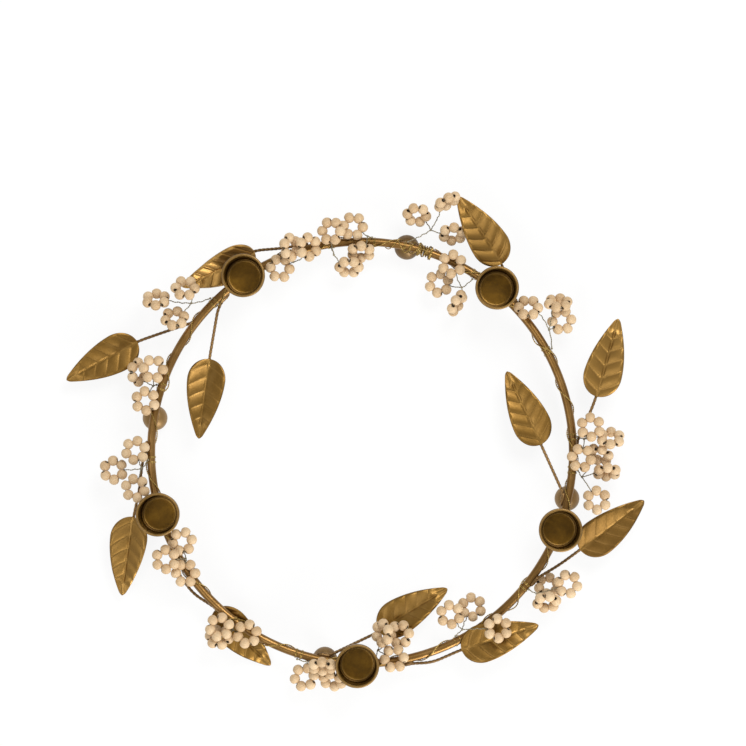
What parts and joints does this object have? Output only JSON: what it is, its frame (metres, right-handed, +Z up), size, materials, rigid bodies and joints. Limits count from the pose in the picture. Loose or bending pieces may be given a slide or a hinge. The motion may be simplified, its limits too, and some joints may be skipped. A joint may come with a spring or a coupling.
{
  "type": "candle ring",
  "caption": "Free-standing ring of antique brass rod on ball feet with candle cups, pressed leaves, wound wire and sprigs of raw wooden beads that bend on soft wire.",
  "frame": {"origin": "centre of the hoop at table height, under the ball feet", "axes": "+Z up along the hoop's axis and the cups, +X to the right and +Y to the back as the picture shows it from above"},
  "size_m": [0.3474, 0.2995, 0.0413],
  "materials": {
    "hoop_brass": "antique, dull sheen",
    "cup_brass": "antique, brushed",
    "foot_brass": "antique, matt",
    "leaf_brass": "antique, pressed and dark at the edges",
    "stem_wire": "antique, twisted",
    "binding_wire": "golden, twisted",
    "sprig_wire": "dark, twisted",
    "bead_wood": "raw, unvarnished"
  },
  "bodies": {
    "ring": {"hoop": "hoop_brass", "ball_foot_back": "foot_brass", "ball_foot_left": "foot_brass", "ball_foot_front": "foot_brass", "ball_foot_right": "foot_brass", "candle_cup_back_right": "cup_brass", "candle_cup_back_left": "cup_brass", "candle_cup_left": "cup_brass", "candle_cup_front": "cup_brass", "candle_cup_right": "cup_brass", "leaf_01": "leaf_brass", "leaf_02": "leaf_brass", "leaf_03": "leaf_brass", "leaf_04": "leaf_brass", "leaf_05": "leaf_brass", "leaf_06": "leaf_brass", "leaf_07": "leaf_brass", "leaf_08": "leaf_brass", "leaf_09": "leaf_brass", "leaf_10": "leaf_brass", "leaf_11": "leaf_brass", "leaf_stems": "stem_wire", "binding_wire": "binding_wire", "seam_lashing": "binding_wire"},
    "bead_sprig_01": {"bead_sprig_01_wire": "sprig_wire", "bead_sprig_01_beads": "bead_wood"},
    "bead_sprig_02": {"bead_sprig_02_wire": "sprig_wire", "bead_sprig_02_beads": "bead_wood"},
    "bead_sprig_03": {"bead_sprig_03_wire": "sprig_wire", "bead_sprig_03_beads": "bead_wood"},
    "bead_sprig_04": {"bead_sprig_04_wire": "sprig_wire", "bead_sprig_04_beads": "bead_wood"},
    "bead_sprig_05": {"bead_sprig_05_wire": "sprig_wire", "bead_sprig_05_beads": "bead_wood"},
    "bead_sprig_06": {"bead_sprig_06_wire": "sprig_wire", "bead_sprig_06_beads": "bead_wood"},
    "bead_sprig_07": {"bead_sprig_07_wire": "sprig_wire", "bead_sprig_07_beads": "bead_wood"},
    "bead_sprig_08": {"bead_sprig_08_wire": "sprig_wire", "bead_sprig_08_beads": "bead_wood"},
    "bead_sprig_09": {"bead_sprig_09_wire": "sprig_wire", "bead_sprig_09_beads": "bead_wood"},
    "bead_sprig_10": {"bead_sprig_10_wire": "sprig_wire", "bead_sprig_10_beads": "bead_wood"},
    "bead_sprig_11": {"bead_sprig_11_wire": "sprig_wire", "bead_sprig_11_beads": "bead_wood"},
    "bead_sprig_12": {"bead_sprig_12_wire": "sprig_wire", "bead_sprig_12_beads": "bead_wood"},
    "bead_sprig_13": {"bead_sprig_13_wire": "sprig_wire", "bead_sprig_13_beads": "bead_wood"},
    "bead_sprig_14": {"bead_sprig_14_wire": "sprig_wire", "bead_sprig_14_beads": "bead_wood"},
    "bead_sprig_15": {"bead_sprig_15_wire": "sprig_wire", "bead_sprig_15_beads": "bead_wood"},
    "bead_sprig_16": {"bead_sprig_16_wire": "sprig_wire", "bead_sprig_16_beads": "bead_wood"},
    "bead_sprig_17": {"bead_sprig_17_wire": "sprig_wire", "bead_sprig_17_beads": "bead_wood"}
  },
  "joints": [
    {"name": "bead_sprig_01_lift", "type": "hinge", "parent": "ring", "child": "bead_sprig_01", "pos_m": [-0.0911, 0.09238, 0.01757], "axis": [-0.1028, 0.9947, 0], "range_deg": [-12, 20]},
    {"name": "bead_sprig_02_swing", "type": "hinge", "parent": "ring", "child": "bead_sprig_02", "pos_m": [-0.0431, 0.11589, 0.01865], "axis": [0, 0, 1], "range_deg": [-2, 20]},
    {"name": "bead_sprig_03_lift", "type": "hinge", "parent": "ring", "child": "bead_sprig_03", "pos_m": [-0.01832, 0.12261, 0.01912], "axis": [-0.1739, -0.9848, 0], "range_deg": [-3, 6]},
    {"name": "bead_sprig_04_swing", "type": "hinge", "parent": "ring", "child": "bead_sprig_04", "pos_m": [0.00608, 0.12888, 0.01912], "axis": [0, 0, 1], "range_deg": [-8, 4]},
    {"name": "bead_sprig_05_swing", "type": "hinge", "parent": "ring", "child": "bead_sprig_05", "pos_m": [0.02778, 0.12634, 0.01865], "axis": [0, 0, 1], "range_deg": [0, 20]},
    {"name": "bead_sprig_06_lift", "type": "hinge", "parent": "ring", "child": "bead_sprig_06", "pos_m": [0.0662, 0.10391, 0.017], "axis": [-0.1929, 0.9812, 0], "range_deg": [-2, 20]},
    {"name": "bead_sprig_07_lift", "type": "hinge", "parent": "ring", "child": "bead_sprig_07", "pos_m": [0.11385, 0.06233, 0.017], "axis": [0.9977, 0.068, 0], "range_deg": [0, 20]},
    {"name": "bead_sprig_08_lift", "type": "hinge", "parent": "ring", "child": "bead_sprig_08", "pos_m": [0.12868, 0.00945, 0.01912], "axis": [-0.256, -0.9667, 0], "range_deg": [-1, 20]},
    {"name": "bead_sprig_09_swing", "type": "hinge", "parent": "ring", "child": "bead_sprig_09", "pos_m": [0.12934, -0.01086, 0.017], "axis": [0, 0, 1], "range_deg": [-16, 0]},
    {"name": "bead_sprig_10_lift", "type": "hinge", "parent": "ring", "child": "bead_sprig_10", "pos_m": [0.09996, -0.08211, 0.01865], "axis": [-0.0433, -0.9991, 0], "range_deg": [-12, 20]},
    {"name": "bead_sprig_11_lift", "type": "hinge", "parent": "ring", "child": "bead_sprig_11", "pos_m": [0.05602, -0.10995, 0.01813], "axis": [0.7453, -0.6668, 0], "range_deg": [0, 20]},
    {"name": "bead_sprig_12_swing", "type": "hinge", "parent": "ring", "child": "bead_sprig_12", "pos_m": [0.00774, -0.12296, 0.017], "axis": [0, 0, 1], "range_deg": [-6, 20]},
    {"name": "bead_sprig_13_swing", "type": "hinge", "parent": "ring", "child": "bead_sprig_13", "pos_m": [-0.03882, -0.12386, 0.017], "axis": [0, 0, 1], "range_deg": [-16, 2]},
    {"name": "bead_sprig_14_swing", "type": "hinge", "parent": "ring", "child": "bead_sprig_14", "pos_m": [-0.07713, -0.10385, 0.01865], "axis": [0, 0, 1], "range_deg": [-15, 20]},
    {"name": "bead_sprig_15_swing", "type": "hinge", "parent": "ring", "child": "bead_sprig_15", "pos_m": [-0.10542, -0.0646, 0.01865], "axis": [0, 0, 1], "range_deg": [-15, 5]},
    {"name": "bead_sprig_16_lift", "type": "hinge", "parent": "ring", "child": "bead_sprig_16", "pos_m": [-0.12807, -0.00447, 0.01986], "axis": [-0.4393, 0.8983, 0], "range_deg": [-12, 12]},
    {"name": "bead_sprig_17_swing", "type": "hinge", "parent": "ring", "child": "bead_sprig_17", "pos_m": [-0.12331, 0.04054, 0.017], "axis": [0, 0, 1], "range_deg": [-15, 10]}
  ]
}
